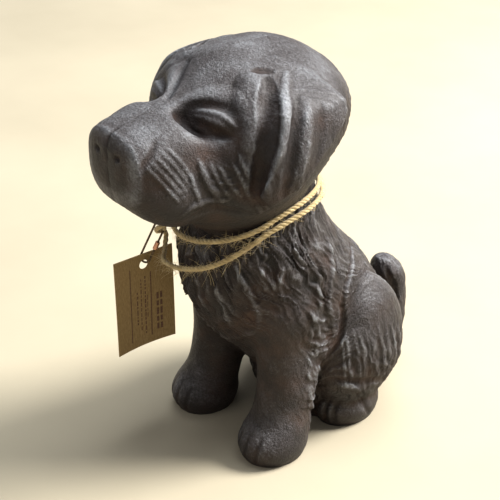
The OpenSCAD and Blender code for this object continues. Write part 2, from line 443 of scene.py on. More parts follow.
# ---- the puppy's form, as a distance field
# Lofts: each row is a place along the loft, then the section's centre and its two radii. The head runs from the nose
# back along Y, and the others run up Z.
TRUNK = np.array([(-1, 0, 28.5, 21, 22.5), (8, 0, 27.8, 25, 27.4), (20, 0, 27, 29.5, 29.6), (36, 0, 20, 31, 35),
                  (50, 0, 11, 30, 37.5), (64, 0, 3, 30, 36.5), (78, 0, -4, 28.5, 31), (90, 0, -7, 26, 25.5),
                  (100, 0, -8, 24, 22), (112, 0, -9, 23, 21)], float)
HEAD = np.array([(-67.6, 0, 128, 8, 7), (-66.4, 0, 126.6, 12.5, 10.6), (-63, 0, 125, 15.6, 13.8),
                 (-58, 0, 123.7, 17.8, 16.2), (-52, 0, 122.6, 19.3, 19.0), (-44, 0, 121.5, 21.5, 22),
                 (-38, 0, 121.3, 23.5, 24.2), (-32, 0, 121.5, 27.5, 27.5), (-22, 0, 123.5, 32, 31),
                 (-8, 0, 126, 33, 30), (6, 0, 131, 30.5, 23), (16, 0, 132, 23.5, 16.5), (22, 0, 132, 15.5, 11),
                 (25, 0, 132, 5, 4)], float)
FORELEG = np.array([(-1, 21.3, -14.4, 10, 11.5), (5, 21.3, -14.4, 11.7, 13.5), (11, 21.3, -13.5, 11.5, 12.8),
                    (17, 20.7, -10.7, 10.4, 11.5), (30, 20, -7.4, 10.4, 11.5), (46, 19, -7.0, 10.5, 12.5),
                    (62, 17.8, -6.8, 12.8, 13.8), (74, 16, -5.5, 9, 10)], float)
THIGH = np.array([(5, 21.5, 24.5, 5, 8), (14, 22, 24.5, 9.6, 14.2), (24, 22, 25, 13.5, 20), (36, 22, 25, 14, 21),
                  (48, 22, 25, 12.5, 18.5), (57, 22, 24, 9, 13.5), (63, 22, 23, 4, 7)], float)
HIND_PAW = np.array([(-1, 19.5, 24, 9, 12), (5, 19.5, 24, 11, 14), (11, 19.5, 24, 10.2, 13), (18, 20.5, 25, 6, 10)],
                    float)
TAIL = np.array([(-1, 0, 57, 8, 8), (12, 0, 61, 8.6, 8), (22, 0, 63, 8.6, 7.4), (36, 0, 63.5, 8, 6.6),
                 (45, 0, 61.5, 6.5, 6), (49.5, 0, 59.8, 3, 3)], float)
WALL = 4.5
SEAM = 0.05

GRID = 0.56
XS = (np.arange(int(41 / GRID)) + 0.5) * GRID
YS = np.arange(-74, 74, GRID)
ZS = np.arange(-3, 160.5, GRID)
AXES = (XS, YS, ZS)
FAR = 8.0
field = np.full([len(a) for a in AXES], FAR, np.float32)


def smin(a, b, k):
    """The lesser of two distances, rounded over k where they meet."""
    h = np.clip(0.5 + 0.5 * (b - a) / k, 0, 1)
    return b + (a - b) * h - k * h * (1 - h)


def smax(a, b, k):
    return -smin(-a, -b, k)


def window(lo, hi):
    """The part of the field between two corners: its slices, and its points' coordinates."""
    cut = tuple(slice(*np.searchsorted(a, (l, h))) for a, l, h in zip(AXES, lo, hi))
    return cut, np.ix_(*[a[c].astype(np.float32) for a, c in zip(AXES, cut)])


def egg(x, y, z, c, r, turn=None):
    """Distance from an ellipsoid with centre c and radii r."""
    p = [x - c[0], y - c[1], z - c[2]]
    if turn is not None:
        p = [sum(p[j] * turn[j][i] for j in range(3)) for i in range(3)]
    near = np.sqrt(sum((q / s) ** 2 for q, s in zip(p, r)))
    far = np.sqrt(sum((q / (s * s)) ** 2 for q, s in zip(p, r)))
    return near * (near - 1) / np.maximum(far, 1e-5)


def section(a, b, t, rows, cap=1.5, power=2.0):
    """Distance from a loft whose sections lie across t: a and b are across it. A power over 2 squares the sections."""
    ca, cb, ra, rb = [smooth_at(t, rows[:, 0], rows[:, k]) for k in (1, 2, 3, 4)]
    p, q = np.abs(a - ca) / ra + 1e-6, np.abs(b - cb) / rb + 1e-6
    near = (p ** power + q ** power) ** (1 / power)
    far = np.sqrt(((p / near) ** (power - 1) / ra) ** 2 + ((q / near) ** (power - 1) / rb) ** 2)
    d = (near - 1) / np.maximum(far, 1e-5)
    return smax(d, np.maximum(rows[0, 0] - t, t - rows[-1, 0]), cap)


def level(rows):
    return lambda x, y, z: section(x, y, z, rows)


def lengthways(rows):
    """The head's loft: round over the skull, squarer along the muzzle."""
    return lambda x, y, z: section(x, z, y, rows, 2.6, 2.0 + 0.8 * step(-y, 40, 54))


trunk, head = level(TRUNK), lengthways(HEAD)
foreleg, thigh, hind_paw, tail = level(FORELEG), level(THIGH), level(HIND_PAW), level(TAIL)


def polygon(y, z, corners):
    """Signed distance from a polygon in the side plane."""
    d = np.full(np.broadcast(y, z).shape, 1e9, np.float32)
    sign = np.ones_like(d)
    for (ay, az), (by, bz) in zip(corners, corners[1:] + corners[:1]):
        ey, ez, wy, wz = by - ay, bz - az, y - ay, z - az
        t = np.clip((wy * ey + wz * ez) / (ey * ey + ez * ez), 0, 1)
        d = np.minimum(d, (wy - ey * t) ** 2 + (wz - ez * t) ** 2)
        c1, c2, c3 = z >= az, z < bz, ey * wz > ez * wy
        flip = (c1 & c2 & c3) | (~c1 & ~c2 & ~c3)
        sign = np.where(flip, -sign, sign)
    return sign * np.sqrt(d)


EAR_OUTLINE = [(-20, 152), (-8, 154), (0, 149.5), (6.0, 141.5), (5.0, 137.5), (-3, 130), (-12, 122), (-20, 116),
               (-26.5, 111.5), (-29.5, 116), (-29, 128), (-26.5, 139), (-22, 147)]


def ear(x, y, z):
    """The ear lies over the side of the head as a flap that stands proud of it."""
    stand = 4.4 * step(-z, -153.0, -141.0) + 0.6
    flap = smax(head(x, y, z) - stand, polygon(y, z, EAR_OUTLINE), 1.7)
    return smax(flap, 12.0 - x, 2.0)


PARTS = [(trunk, (-1, -40, -2), (41, 62, 113), 0), (head, (-1, -72, 92), (41, 27, 159), 4.5),
         (foreleg, (-1, -33, -2), (41, 6, 76), 4.0), (thigh, (-1, 0, 3), (41, 50, 66), 1.8),
         (hind_paw, (-1, 0, -2), (41, 40, 20), 1.5), (tail, (-1, 44, -2), (20, 74, 53), 2.0),
         (ear, (8, -36, 104), (41, 12, 159), 1.6)]
for shape, lo, hi, k in PARTS:
    pad = 4.0
    cut, (x, y, z) = window([v - pad for v in lo], [v + pad for v in hi])
    d = shape(x, y, z).astype(np.float32)
    field[cut] = np.minimum(field[cut], d) if k == 0 else smin(field[cut], d, k)


def sample(points, grid=None):
    """The field at points (with x made positive, since both halves share it)."""
    grid = field if grid is None else grid
    p = (np.stack([np.abs(points[:, 0]), points[:, 1], points[:, 2]], 1) - (XS[0], YS[0], ZS[0])) / GRID
    p = np.clip(p, 0, np.array(grid.shape) - 1.001)
    i = p.astype(int)
    f = p - i
    out = 0
    for a, b, c in np.ndindex(2, 2, 2):
        out = out + weight(f, (a, b, c)) * grid[i[:, 0] + a, i[:, 1] + b, i[:, 2] + c]
    return out


def slope(points, e=0.8):
    """The field's gradient at points."""
    g = np.stack([sample(points + d) - sample(points - d) for d in np.eye(3) * e], 1)
    g[:, 0] *= np.where(points[:, 0] < 0, -1, 1)
    return g / (2 * e)


def snap(points):
    """points, moved onto the surface."""
    p = np.array(points, float)
    for _ in range(5):
        g = slope(p)
        p -= np.clip(sample(p), -3, 3)[:, None] * g / np.maximum((g * g).sum(1), 0.2)[:, None]
    return p


# add melts an egg into the form and carve presses one out of it; k is how softly
def egg_near(c, r, k, turn):
    reach = max(r) + 3 + k
    cut, (x, y, z) = window([v - reach for v in c], [v + reach for v in c])
    return cut, egg(x, y, z, c, r, turn)


def add(c, r, k=2.0, turn=None):
    cut, d = egg_near(c, r, k, turn)
    field[cut] = smin(field[cut], d, k)


def carve(c, r, k=1.5, turn=None):
    cut, d = egg_near(c, r, k, turn)
    field[cut] = smax(field[cut], -d, k)


def stroke(points, width, height, ends=(0.3, 0.3), sharp=2):
    """A raised strand (height over 0) or a groove along points, laid on the surface and drawn out thin at its ends."""
    line = snap(curve(points, 0.9))
    n = len(line)
    u = np.linspace(0, 1, n)
    fade = np.minimum(1, np.minimum((u + 0.04) / max(ends[0], 0.04), (1.04 - u) / max(ends[1], 0.04))) ** 0.7
    reach = width + 1.0
    cut, (x, y, z) = window(line.min(0) - reach, line.max(0) + reach)
    best = np.zeros(np.broadcast(x, y, z).shape, np.float32)
    for i in range(n - 1):
        a, e = line[i], line[i + 1] - line[i]
        t = np.clip(((x - a[0]) * e[0] + (y - a[1]) * e[1] + (z - a[2]) * e[2]) / max(e @ e, 1e-6), 0, 1)
        d2 = (x - a[0] - t * e[0]) ** 2 + (y - a[1] - t * e[1]) ** 2 + (z - a[2] - t * e[2]) ** 2
        w = width * (0.45 + 0.55 * fade[i])
        best = np.maximum(best, fade[i] * np.clip(1 - d2 / (w * w), 0, 1) ** sharp)
    field[cut] -= height * best


def turned(axis, degrees):
    """A rotation's matrix, as rows."""
    a = math.radians(degrees)
    k = np.array(axis, float) / np.linalg.norm(axis)
    q = np.array([(0, -k[2], k[1]), (k[2], 0, -k[0]), (-k[1], k[0], 0)])
    return np.eye(3) + math.sin(a) * q + (1 - math.cos(a)) * (q @ q)


# ---- face
# muzzle: a broad block with a flat top and front, its flews hanging over the lower jaw
add((9.5, -49, 116.4), (11.4, 12.6, 11.2), 5)
carve((0, -42, 104), (13, 17, 5), 4)
add((0, -38, 107), (14.5, 15, 7.5), 3)
# nose leather: its top edge with the notch, the nostrils and the groove under it
add((0, -61, 132.6), (12.2, 6.4, 5.2), 1)
add((8.4, -60.6, 134.2), (4.6, 5, 3.2), 1.2)
stroke([(0, -61, 139), (0, -64.5, 138), (0, -67.4, 134), (0, -67.4, 129)], 1.5, -0.6, (0.5, 0.4))
stroke([(0, -67.4, 127), (0, -66, 121), (0, -62, 113)], 1.7, -0.4, (0.3, 0.4))
stroke([(13, -57, 138), (13.8, -59.5, 134), (12.8, -63.5, 129.5)], 1.8, -0.9, (0.3, 0.4))
carve((5.8, -68.2, 131.2), (1.6, 1.8, 1.2), 1)
# brow: a heavy ridge that runs out into the temple, a hollow under it and a lidded eye in the hollow
stroke([(15, -21.5, 149), (19.8, -24.5, 146), (23.5, -27.5, 139.8), (26, -30, 133)], 6.8, 3.3, (0.35, 0.45),
       sharp=1.5)
stroke([(5, -39.5, 145.6), (10, -36.8, 147.6), (15.5, -32.5, 147.6), (20.5, -29, 144.6)], 5.2, 1.8, (0.45, 0.35),
       sharp=1.6)
carve((14.4, -39.4, 140.2), (10.2, 4.7, 5.8), 3.6, turned((0, 0, 1), 33))
carve((14.2, -37.8, 143.4), (9.8, 3.4, 2.3), 1.2, turned((0, 0, 1), 33))
add((13.8, -33.6, 137.6), (9.6, 5.9, 5.5), 2, turned((0, 0, 1), 33))
stroke([(8.4, -39.2, 141.4), (12.6, -37.4, 142), (17, -34.6, 140.8), (21, -31.6, 137.8)], 1.5, 0.9, (0.35, 0.3))
stroke([(9.6, -40, 138.4), (13.4, -39, 138.2), (17.4, -36.6, 137), (20.8, -33.8, 135)], 2.6, -1.2, (0.3, 0.35))
# cheek, and the deep fold between it and the ear
stroke([(23.5, -27.5, 139.5), (26, -30.3, 132.7), (27, -31.4, 126.9), (26.6, -31.6, 120)], 3.4, 1.1)
stroke([(20.5, -18, 149.2), (27.4, -23, 145.4), (31, -26.2, 139.7), (32.3, -28.2, 132.6), (31.4, -29, 125.6),
        (29, -28.6, 117.5)], 4.4, -4.8, (0.25, 0.3), sharp=1.3)
# ear: two long raised folds with valleys between, and a dent at the top of the first
stroke([(20.6, -9.8, 151.2), (26.5, -14.8, 150), (32.3, -19.6, 144.8), (35, -21.8, 139.7), (35.4, -24.6, 133),
        (34, -26.2, 126.1), (33, -27.4, 119)], 2.6, 2, (0.35, 0.35), sharp=1.6)
stroke([(31, -12.5, 149), (35.4, -17, 141.5), (37, -19.8, 134.3), (36.4, -21.6, 126.1), (34.6, -23.2, 117)], 2.9,
       -2.2, (0.35, 0.35), sharp=1.5)
stroke([(32, -9.5, 147.4), (36.6, -12.6, 141), (38.2, -14.6, 133.5), (38, -16.4, 127), (36.8, -18.4, 120)], 2.7, 0.9,
       (0.35, 0.4))
stroke([(34, -5.5, 146), (37.4, -7.5, 139), (38.6, -9.8, 131.5), (37.8, -12.5, 124)], 2.2, -0.6, (0.4, 0.4))
stroke([(14.5, -20.2, 152), (16, -17.4, 151.8), (17.8, -14.8, 151.3)], 1.9, -1.4)
# whisker ridges down the flews, then the jowl's folds and the cheek's curls
for k in range(5):
    u = k / 4
    stroke([(15.4 - 0.9 * u, -62.2 + 7.0 * u, 130.2 + 5.0 * u), (18.1 + 0.3 * u, -58.0 + 6.6 * u, 123.6 + 6.0 * u),
            (19.3 + 1.1 * u, -53.6 + 4.8 * u, 117.4 + 6.0 * u)],
           1.15 + 0.25 * (k % 2), 0.85 - 0.2 * (k % 2), (0.3, 0.4))
for pts, wide, tall in (
        ([(19.9, -45.8, 129.8), (21.4, -43.9, 122.6), (22.2, -38.2, 114.2)], 1.9, 1.5),
        ([(19.6, -49.4, 126.6), (20.6, -48.4, 120.9), (20.3, -46.5, 114.8)], 1.3, 1),
        ([(21.4, -42, 128.2), (22.4, -40.4, 122.5), (23.6, -36, 114.8)], 1.1, 0.9),
        ([(22, -39.4, 126.8), (23.5, -36.9, 121.3), (25.7, -33.3, 115.6)], 1.3, 1.1),
        ([(24.2, -35.6, 127.6), (26.4, -33.2, 121.6), (27.2, -30.9, 114.6)], 1.3, 1.1),
        ([(24.6, -33.8, 131), (26.6, -32.6, 126.4), (27.8, -31.2, 121.6)], 1.2, 0.9),
        ([(17, -52.4, 113.2), (19.2, -49.6, 115.2), (20.9, -44.7, 115.4), (22.6, -37.3, 114)], 1.7, 1.3),
        ([(17.8, -51, 110.6), (19.6, -47, 111.6), (21, -41, 111), (23, -34, 109.4), (24.5, -29, 107.6)], 2, -1.8)):
    stroke(pts, wide, tall)
# the row of short fur tufts that shows under the ear
for k in range(8):
    u = k / 7
    top = np.array((26.6 + 9.6 * u ** 0.8, -27.6 + 9.6 * u, 110.6 + 7.4 * u))
    stroke([top + (0.2, -0.6, 1.2), top + (-0.3, 1, -1), top + (-1, 2.2, -2.8)], 1.35, 1.5, (0.2, 0.3))

# ---- body
# chest, shoulder and back: the longest strands, and the crease where the trunk meets the haunch
for pts, wide, tall in (
        ([(15.9, -28.2, 83.9), (17.9, -27.8, 79.5), (19.8, -25.8, 75.1), (20.6, -23.7, 68.2), (22.3, -23, 63.5),
          (22.2, -23.7, 57.7)], 2, 1.5),
        ([(21.4, -22, 86.5), (22.8, -21.1, 80.5), (24.5, -18.9, 76.6), (25, -17.9, 73.9)], 1.4, 1.1),
        ([(24.6, -16.1, 85.8), (25.8, -14.9, 81.4), (25.9, -16.5, 76.3), (26.3, -14.6, 68.6)], 1.3, 0.9),
        ([(25.4, -9.6, 90.1), (26.7, -9.2, 84.8), (27.6, -7.7, 80.2)], 1.3, 1),
        ([(25.4, -6, 91.4), (26.9, -5.7, 85.5), (28, -3.6, 80.2), (28.7, -1.1, 75), (29.1, -1.7, 69.5),
          (29.6, -1.7, 63.7), (28.9, -4, 58.9)], 1.7, 1.3),
        ([(27, -3, 84), (28.2, -0.8, 79), (29.2, 1.5, 74), (29.4, 1, 68), (29.8, 1.2, 60)], 1.4, -0.9),
        ([(23.5, 7.8, 85.1), (26.8, 7.3, 76.9), (29, 4.8, 68.9), (29.9, 3.4, 61.9), (29.7, 5.4, 54.2),
          (29.7, 7.1, 48)], 1.9, 1),
        ([(16.4, 27.5, 74.5), (19.5, 23.6, 72.4), (25.3, 17.8, 69.2), (28.3, 13, 65.6), (29.5, 10.7, 60.3),
          (29.8, 10.9, 53.4), (30.2, 9.6, 46.5), (29.5, 6.5, 40)], 1.9, -2.6),
        ([(9, -32, 76), (11, -31.5, 70), (12.5, -29.5, 62), (12, -27, 54)], 2, 0.9),
        ([(2.5, -33.5, 74), (3.5, -33.5, 66), (4, -31, 57), (3, -27, 49)], 1.8, 0.8)):
    stroke(pts, wide, tall)
# the breast's lower edge, hanging over the space between the forelegs
stroke([(0, -24.5, 45), (6, -24.5, 46), (12, -24.5, 48.5), (17, -24.5, 52), (21, -24.5, 55.5)], 2.4, 1.1)
# feathering down the back of each foreleg: short wavy locks that lean down and back
rng = np.random.default_rng(SEED + 2)
for k in range(30):
    z = 64 - 1.75 * k + rng.normal(0, 0.8)
    back, drop, sway = rng.uniform(-7, 0.5), rng.uniform(8, 14), rng.normal(0, 0.8, 2)
    lock = [(28.6, back, z), (29, back + 1.6 + sway[0], z - 0.35 * drop),
            (28, back + 2.2 + sway[1], z - 0.7 * drop), (25.6, back + 5, z - drop)]
    stroke(lock, rng.uniform(1, 1.7), (1.15 if z > 18 else 0.5) * rng.uniform(0.6, 1.2), (0.35, 0.35))
# paws: rounded, with shallow toe grooves
add((21.3, -15.4, 6.3), (11.6, 13.2, 8.8), 2)
add((19.8, 22.5, 7), (11.2, 13.2, 8.4), 2)
for x in (17, 21.5, 26.2):
    stroke([(x, -23.5, 12.4), (x + (x - 21.5) * 0.1, -27.5, 7.8), (x + (x - 21.5) * 0.15, -29, 2)], 1.3, -0.7,
           (0.5, 0.1))
for x in (17, 22.5, 27.2):
    stroke([(x + 1, 14.5, 14.6), (x + 0.6, 10.6, 10.5), (x + 0.8, 9, 2)], 1.5, -1.3, (0.4, 0.1))
stroke([(30.4, 19.5, 15.4), (30.8, 22.6, 10), (30.8, 26, 4)], 1.5, -1.1, (0.3, 0.2))
# the fold over the hock, and the haunch's hanging fringe
stroke([(28, 8, 27.8), (31.5, 11.8, 27.2), (34.6, 17, 24.6), (36, 24, 22.4), (34, 31, 19)], 2.6, -1.7, (0.3, 0.5))
stroke([(28.2, 7.6, 24.6), (32.2, 11.5, 23.9), (33.6, 17.2, 20.6), (33, 23, 16.5)], 2.1, 0.8, (0.3, 0.5))
for k in range(15):
    u = k / 14
    y = 10 + 27 * u + rng.normal(0, 0.5)
    x = 31.2 + 4.6 * math.sin(math.pi * min(1, u * 1.15))
    top, low = 50 - 6 * u + rng.normal(0, 2), 27 + rng.uniform(-2.5, 2)
    stroke([(x - 0.4, y - 1.5, top), (x + 0.3, y + rng.normal(0, 0.5), 0.55 * top + 0.45 * low),
            (x + 0.2, y + 1.4, low)], rng.uniform(1.1, 1.7), rng.uniform(0.4, 0.95), (0.5, 0.2))
# tail: curled up against the rump, grooved along its length
stroke([(7.6, 57.5, 12), (8.2, 59.5, 24), (7.6, 59.8, 36), (4.6, 57.6, 46)], 2, -1.8, (0.2, 0.3))
stroke([(4.4, 66, 10), (4.6, 69.6, 24), (4.2, 69.2, 36), (2.8, 65.2, 45)], 1.5, -0.9)


# ---- the form as a mesh, with fur, pits and grain
def surface(half, pitch, origin):
    """Mesh of the zero surface of a half field, mirrored over x = 0, with its faces turned out."""
    whole = np.concatenate([half[::-1], half], 0)
    grid = openvdb.FloatGrid(background=float(FAR))
    grid.copyFromArray(np.ascontiguousarray(whole, np.float32))
    points, quads = grid.convertToQuads(isovalue=0.0)
    points = points.astype(float) * pitch + (-(half.shape[0] - 0.5) * pitch, origin[0], origin[1])
    quads = quads[:, ::-1].astype(np.int64)
    a, b, c = (points[quads[:, k]] for k in range(3))
    inside_out = np.einsum("ij,ij->i", a, np.cross(b, c)).sum() < 0
    return points, quads[:, ::-1] if inside_out else quads


def blur(grid, n):
    for axis in range(3):
        pad = [(0, 0)] * 3
        pad[axis] = (n + 1, n)
        c = np.cumsum(np.pad(grid, pad, mode="edge"), axis=axis, dtype=np.float64)
        a = np.take(c, range(2 * n + 1, c.shape[axis]), axis=axis)
        b = np.take(c, range(0, c.shape[axis] - 2 * n - 1), axis=axis)
        grid = ((a - b) / (2 * n + 1)).astype(np.float32)
    return grid


field = np.clip(field, -6, FAR)
points, quads = surface(field, GRID, (YS[0], ZS[0]))

grad = slope(points, e=0.9)
normal = grad / np.maximum(np.linalg.norm(grad, axis=1), 1e-6)[:, None]
side = np.where(points[:, 0] < 0, -1.0, 1.0)
px, py, pz = np.abs(points[:, 0]), points[:, 1], points[:, 2]
mirror = side * 37.0                                            # each side gets fur of its own
wide_blur, small_blur = blur(field, int(2.8 / GRID)), blur(field, max(1, int(1.1 / GRID)))
bulge = sample(points, wide_blur) - sample(points)
crease = sample(points, small_blur) - sample(points)

distance = np.stack([f(px, py, pz) for f in (trunk, head, foreleg, thigh, hind_paw, tail)] + [ear(px, py, pz)], 1)
near = np.exp(-np.clip(distance - distance.min(1)[:, None], 0, 12) / 1.6)
near /= near.sum(1)[:, None]
w_trunk, w_head, w_leg, w_thigh, w_hind, w_tail, w_ear = near.T

P = np.stack([px + mirror, py, pz], 1)
warp = 2.6 * noise(P / 13) + 1.7 * noise(P / 5.5 + 40) + 0.7 * noise(P / 2.6 + 90)
round_x = np.arctan2(px, -(py - smooth_at(pz, TRUNK[:, 0], TRUNK[:, 2]))) * 28
back_of_leg = step((px - 20) * 0.72 + (py + 7) * 0.7, 1.5, 9.0) * step(pz, 12, 20)
low_haunch = step(-pz, -48, -34)
across = (w_trunk * (round_x + 0.20 * pz) + w_head * (py * 0.8 + 0.7 * pz) + w_leg * ((py + px) * 0.8 + 0.4 * pz)
          + w_thigh * (py + 0.25 * pz) + w_hind * (py * 0.9) + w_tail * np.arctan2(px, py - 60) * 7
          + w_ear * (py - 0.24 * pz))
across = across + warp
along = pz + 0.25 * py


def strands(width, length, seed, soft=2.3):
    """Ridges that run along the coat, 1 on a ridge and 0 between ridges."""
    where = np.stack([across / width, along / length, mirror * 0.31 + seed + 0 * px], 1)
    return 1 - np.clip(np.abs(noise(where)) * soft, 0, 1)


coarse, middle, fine = strands(2.3, 13, 3.7), strands(1.35, 9, 11.2), strands(0.9, 6, 21.9)
clumps = noise(np.stack([across / 5.5, along / 20, mirror + 5.1 + 0 * px], 1))
depth = (w_trunk * (0.62 + 0.55 * step(-py, -12, 8)) + w_head * 0.0 + w_leg * (0.12 + 0.55 * back_of_leg)
         + w_thigh * (0.16 + 0.5 * low_haunch) + w_hind * 0.08 + w_tail * 0.30 + w_ear * 0.20)
cheek = w_head * step(-np.abs(py + 36), -14, -5) * step(px, 17, 22) * step(-pz, -134, -126) * step(pz, 107, 112)
depth = depth + 0.45 * cheek
nape = w_head * step(py, -2, 8) * step(-pz, -146, -132)
depth = depth + 0.55 * nape
under = step(-pz, -8, -2)
depth = depth * (1 - under)
sand = noise(P / 1.7 + 3) * 0.5 + noise(P / 0.9 + 17) * 0.3
pits = -np.clip(noise(P / 2.1 + 60) - 0.55, 0, 1) * 1.2
lumps = noise(P / 9 + 70)
patchy = 0.55 + 0.75 * np.clip(noise(P / 8 + 200) + 0.4, 0, 1)
hair = 0.66 * patchy * (coarse ** 1.6 - 0.4) + 0.30 * (middle - 0.5) + 0.16 * (fine - 0.5) + 0.34 * clumps
bare = 1 - np.clip(depth / 0.5, 0, 1)
rise = 1.35 * depth * hair + 0.19 * sand + 0.16 * bare * pits + 0.14 * bare * lumps

moved = points + normal * rise[:, None]
# the twine lies in a slight groove
tree = tree_of(twine_line)
CLEAR = 0.5 * TWINE_D + 0.57
for k in np.nonzero((pz > 70) & (pz < 112))[0]:
    q, j, far = tree.find(moved[k])
    if far < CLEAR:
        moved[k] -= normal[k] * (CLEAR - far)
# one long crease runs from the bridge of the nose up the right side of the forehead
crease_line = curve([(-1.5, -42.5, 144.4), (-4.5, -37.5, 146.2), (-7.8, -32, 148.2), (-10.5, -27, 149.8)], 0.5)
crease_line = snap(crease_line * (-1, 1, 1)) * (-1, 1, 1)
for k in np.nonzero((points[:, 0] < 2) & (points[:, 0] > -15) & (py < -23) & (py > -47) & (pz > 139))[0]:
    gap = np.linalg.norm(crease_line - points[k], axis=1).min()
    moved[k] -= normal[k] * 1.5 * math.exp(-(gap / 1.3) ** 2)
moved[:, 2] = np.maximum(moved[:, 2], 0.0)

flat = np.clip(bulge / 1.1, -1, 1)
# wear and painted sheen: lighter on rubbed crests and darker in creases as wear, and lighter on upward-facing surfaces
# as a painted sheen of the light from above
wear_and_sheen = (0.31 + 0.13 * flat + 0.20 * np.clip(crease / 0.22, -1, 1)
        + np.clip(depth, 0, 1) * (0.34 * (coarse - 0.5) + 0.18 * (middle - 0.5)))
# the 0.26 * normal z term is painted sheen: tops lightened as if lit from above
wear_and_sheen += 0.10 * sand + 0.26 * np.clip(normal[:, 2], -0.6, 1) + 0.12 * lumps
rust_noise = noise(P / 11 + 130) * 0.6 + noise(P / 4.5 + 150) * 0.4
low_eye = np.exp(-(((px - 17) / 8) ** 2 + ((py + 42) / 8) ** 2 + ((pz - 132) / 5.5) ** 2))
breast = np.exp(-(((px - 18) / 12) ** 2 + ((py + 22) / 12) ** 2 + ((pz - 56) / 14) ** 2))
leg_back = np.exp(-(((px - 25) / 9) ** 2 + ((py + 2) / 12) ** 2 + ((pz - 34) / 24) ** 2))
rust = 0.30 + 0.75 * rust_noise - 0.42 * flat + 0.75 * low_eye + 0.55 * breast + 0.35 * leg_back
rust = np.clip(rust - 0.30 * np.clip(normal[:, 2], 0, 1), 0, 1)
print("outer", len(points), "points", len(quads), "quads")


# ---- hollow, slot, screw bore and seam
def closed_cylinder(name, start, end, radius, sides=40):
    tubes = Tubes()
    tubes.add(np.array([start, end], float), radius, sides)
    return mesh_object(name, np.concatenate(tubes.v), tubes.f, smooth=False)


def block(name, lo, hi, turn=None, at=(0, 0, 0), corner=0.0):
    """A block, or with corner a slot cutter whose two ends are round."""
    if corner:
        a = np.linspace(0, np.pi, 13)
        edge = [(corner * math.cos(t), hi[1] - corner + corner * math.sin(t)) for t in a]
        edge += [(-x, -y) for x, y in edge]
    else:
        edge = [(lo[0], lo[1]), (hi[0], lo[1]), (hi[0], hi[1]), (lo[0], hi[1])]
    n = len(edge)
    v = np.array([(x, y, z) for z in (lo[2], hi[2]) for x, y in edge], float)
    if turn is not None:
        v = v @ turn.T
    v = v + at
    f = [list(reversed(range(n))), list(range(n, 2 * n))]
    f += [[k, (k + 1) % n, n + (k + 1) % n, n + k] for k in range(n)]
    return mesh_object(name, v, f, smooth=False)


def combined(a, b, how):
    """a, changed by the boolean with b; b is used up."""
    m = a.modifiers.new("cut", "BOOLEAN")
    m.operation, m.solver, m.object = how, "MANIFOLD", b
    dg = bpy.context.evaluated_depsgraph_get()
    me = bpy.data.meshes.new_from_object(a.evaluated_get(dg))
    a.modifiers.clear()
    old = a.data
    a.data = me
    bpy.data.meshes.remove(old)
    bpy.data.objects.remove(b)
    return a


SCREW_Y, SCREW_Z = 14.0, 66.0
BOSS_R = 6.5
CHAMBER_FRONT, CHAMBER_FLOOR = -31.5, 5.2
PEGS, PEG_R, PEG_HOLE_R = ((-52, 122), (59, 14)), 2.0, 2.08
# along the screw, in X: the tapped hole, the clearance hole and the spot face, each with its two ends and its radius
SCREW_BORES = (("tapped", -0.5, 13.5, 2.05), ("clearance", 0.4, -26, 2.12), ("spot_face", -24.5, -44, 5.1))
SLOT_HALF, SLOT_AT, SLOT_TURN = (2.5, 16.5, 13), (0, 27, 79), -51


def hollow():
    """The inside: trunk and head, a wall's thickness in."""
    pitch = 1.7
    xs, ys, zs = (np.arange(int(40 / pitch)) + 0.5) * pitch, np.arange(-40, 64, pitch), np.arange(0, 158, pitch)
    x, y, z = np.ix_(xs, ys, zs)
    x, y, z = np.broadcast_arrays(x, y, z)
    d = smin(trunk(x, y, z), head(x, y, z), 4.0) + WALL
    d = smax(d, CHAMBER_FRONT - y, 3.0)
    d = smax(d, CHAMBER_FLOOR - z, 2.0)
    boss = np.sqrt((y - SCREW_Y) ** 2 + (z - SCREW_Z) ** 2) - BOSS_R
    d = smax(d, -boss, 1.2)
    return surface(np.clip(d, -6, FAR).astype(np.float32), pitch, (ys[0], zs[0]))


inner = mesh_object("inner", *hollow())
slot = block("slot", tuple(-h for h in SLOT_HALF), SLOT_HALF, turned((1, 0, 0), SLOT_TURN), SLOT_AT,
             corner=SLOT_HALF[0])
inner = combined(inner, slot, "UNION")
for name, x0, x1, r in SCREW_BORES:
    inner = combined(inner, closed_cylinder(name, (x0, SCREW_Y, SCREW_Z), (x1, SCREW_Y, SCREW_Z), r), "UNION")

body = mesh_object("body_form", moved, quads)
body = combined(body, inner, "DIFFERENCE")
halves = {}
for name, lo_x, hi_x in (("left", SEAM, 60), ("right", -60, -SEAM)):
    ob = body.copy()
    ob.data = body.data.copy()
    bpy.context.collection.objects.link(ob)
    halves[name] = combined(ob, block("half_" + name, (lo_x, -90, -10), (hi_x, 90, 170)), "INTERSECT")
bpy.data.objects.remove(body)
for y, z in PEGS:
    peg = closed_cylinder("peg", (-4, y, z), (3, y, z), PEG_R, 32)
    halves["left"] = combined(halves["left"], peg, "UNION")
    hole = closed_cylinder("peg_hole", (-4.4, y, z), (2, y, z), PEG_HOLE_R, 32)
    halves["right"] = combined(halves["right"], hole, "DIFFERENCE")

